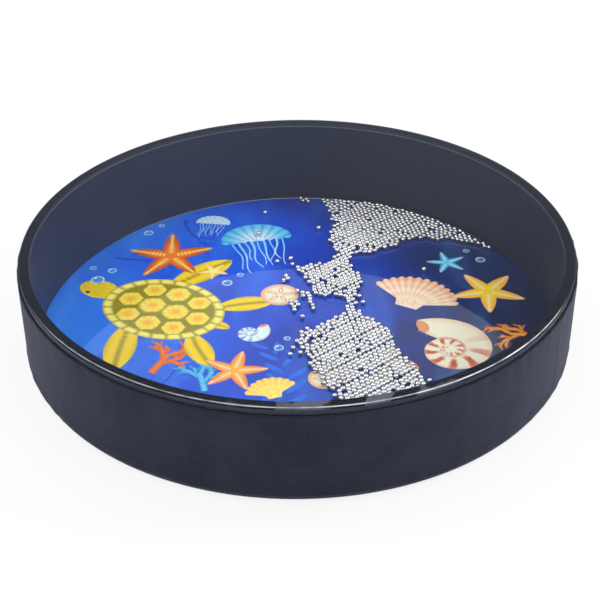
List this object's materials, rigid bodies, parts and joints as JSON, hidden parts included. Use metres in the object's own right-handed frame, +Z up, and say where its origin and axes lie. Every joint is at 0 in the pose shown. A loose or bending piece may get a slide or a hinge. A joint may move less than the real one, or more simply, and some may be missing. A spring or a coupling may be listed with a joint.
{
  "type": "ocean drum",
  "caption": "Shallow round drum with a clear upper head, a printed lower head and a cloth-covered shell, in which loose steel beads roll with the sound of surf.",
  "frame": {"origin": "middle of the underside, on the surface that the drum lies on", "axes": "+Z up through the drum's axis, -Y towards the front of the pictured view"},
  "size_m": [0.406, 0.406, 0.075],
  "materials": {
    "shell_board": "black-stained fibreboard, satin",
    "clear_film": "clear polyester film, glossy",
    "printed_film": "polyester film with a sea print in blue, glossy",
    "black_cloth": "black brushed cloth",
    "bead_steel": "polished steel balls"
  },
  "bodies": {
    "drum": {"shell": "shell_board", "upper_head": "clear_film", "lower_head": "printed_film", "fabric_cover": "black_cloth"},
    "bead_row_01": {"bead_row_01": "bead_steel"},
    "bead_row_02": {"bead_row_02": "bead_steel"},
    "bead_row_03": {"bead_row_03": "bead_steel"},
    "bead_row_04": {"bead_row_04": "bead_steel"},
    "bead_row_05": {"bead_row_05": "bead_steel"},
    "bead_row_06": {"bead_row_06": "bead_steel"},
    "bead_row_07": {"bead_row_07": "bead_steel"},
    "bead_row_08": {"bead_row_08": "bead_steel"},
    "bead_row_09": {"bead_row_09": "bead_steel"},
    "bead_row_10": {"bead_row_10": "bead_steel"},
    "bead_row_11": {"bead_row_11": "bead_steel"},
    "bead_row_12": {"bead_row_12": "bead_steel"},
    "bead_row_13": {"bead_row_13": "bead_steel"},
    "bead_row_14": {"bead_row_14": "bead_steel"},
    "bead_row_15": {"bead_row_15": "bead_steel"},
    "bead_row_16": {"bead_row_16": "bead_steel"},
    "bead_row_17": {"bead_row_17": "bead_steel"},
    "bead_row_18": {"bead_row_18": "bead_steel"},
    "bead_row_19": {"bead_row_19": "bead_steel"}
  },
  "joints": [
    {"name": "roll_01", "type": "slide", "parent": "drum", "child": "bead_row_01", "axis": [0.766, 0.6428, 0], "range_m": [0, 0.0525]},
    {"name": "roll_02", "type": "slide", "parent": "drum", "child": "bead_row_02", "axis": [0.766, 0.6428, 0], "range_m": [-0.0029, 0.0829]},
    {"name": "roll_03", "type": "slide", "parent": "drum", "child": "bead_row_03", "axis": [0.766, 0.6428, 0], "range_m": [-0.0444, 0.1076]},
    {"name": "roll_04", "type": "slide", "parent": "drum", "child": "bead_row_04", "axis": [0.766, 0.6428, 0], "range_m": [-0.0743, 0.1248]},
    {"name": "roll_05", "type": "slide", "parent": "drum", "child": "bead_row_05", "axis": [0.766, 0.6428, 0], "range_m": [-0.1024, 0.1276]},
    {"name": "roll_06", "type": "slide", "parent": "drum", "child": "bead_row_06", "axis": [0.766, 0.6428, 0], "range_m": [-0.1222, 0.139]},
    {"name": "roll_07", "type": "slide", "parent": "drum", "child": "bead_row_07", "axis": [0.766, 0.6428, 0], "range_m": [-0.1347, 0.1452]},
    {"name": "roll_08", "type": "slide", "parent": "drum", "child": "bead_row_08", "axis": [0.766, 0.6428, 0], "range_m": [-0.1489, 0.1419]},
    {"name": "roll_09", "type": "slide", "parent": "drum", "child": "bead_row_09", "axis": [0.766, 0.6428, 0], "range_m": [-0.1553, 0.144]},
    {"name": "roll_10", "type": "slide", "parent": "drum", "child": "bead_row_10", "axis": [0.766, 0.6428, 0], "range_m": [-0.1623, 0]},
    {"name": "roll_11", "type": "slide", "parent": "drum", "child": "bead_row_11", "axis": [0.766, 0.6428, 0], "range_m": [-0.1957, 0.0019]},
    {"name": "roll_12", "type": "slide", "parent": "drum", "child": "bead_row_12", "axis": [0.766, 0.6428, 0], "range_m": [-0.1974, 0]},
    {"name": "roll_13", "type": "slide", "parent": "drum", "child": "bead_row_13", "axis": [0.766, 0.6428, 0], "range_m": [-0.2143, 0]},
    {"name": "roll_14", "type": "slide", "parent": "drum", "child": "bead_row_14", "axis": [0.766, 0.6428, 0], "range_m": [-0.2123, 0]},
    {"name": "roll_15", "type": "slide", "parent": "drum", "child": "bead_row_15", "axis": [0.766, 0.6428, 0], "range_m": [-0.218, 0]},
    {"name": "roll_16", "type": "slide", "parent": "drum", "child": "bead_row_16", "axis": [0.766, 0.6428, 0], "range_m": [-0.2697, 0]},
    {"name": "roll_17", "type": "slide", "parent": "drum", "child": "bead_row_17", "axis": [0.766, 0.6428, 0], "range_m": [-0.2076, 0.0022]},
    {"name": "roll_18", "type": "slide", "parent": "drum", "child": "bead_row_18", "axis": [0.766, 0.6428, 0], "range_m": [-0.2553, 0.0028]},
    {"name": "roll_19", "type": "slide", "parent": "drum", "child": "bead_row_19", "axis": [0.766, 0.6428, 0], "range_m": [-0.2106, 0]}
  ]
}
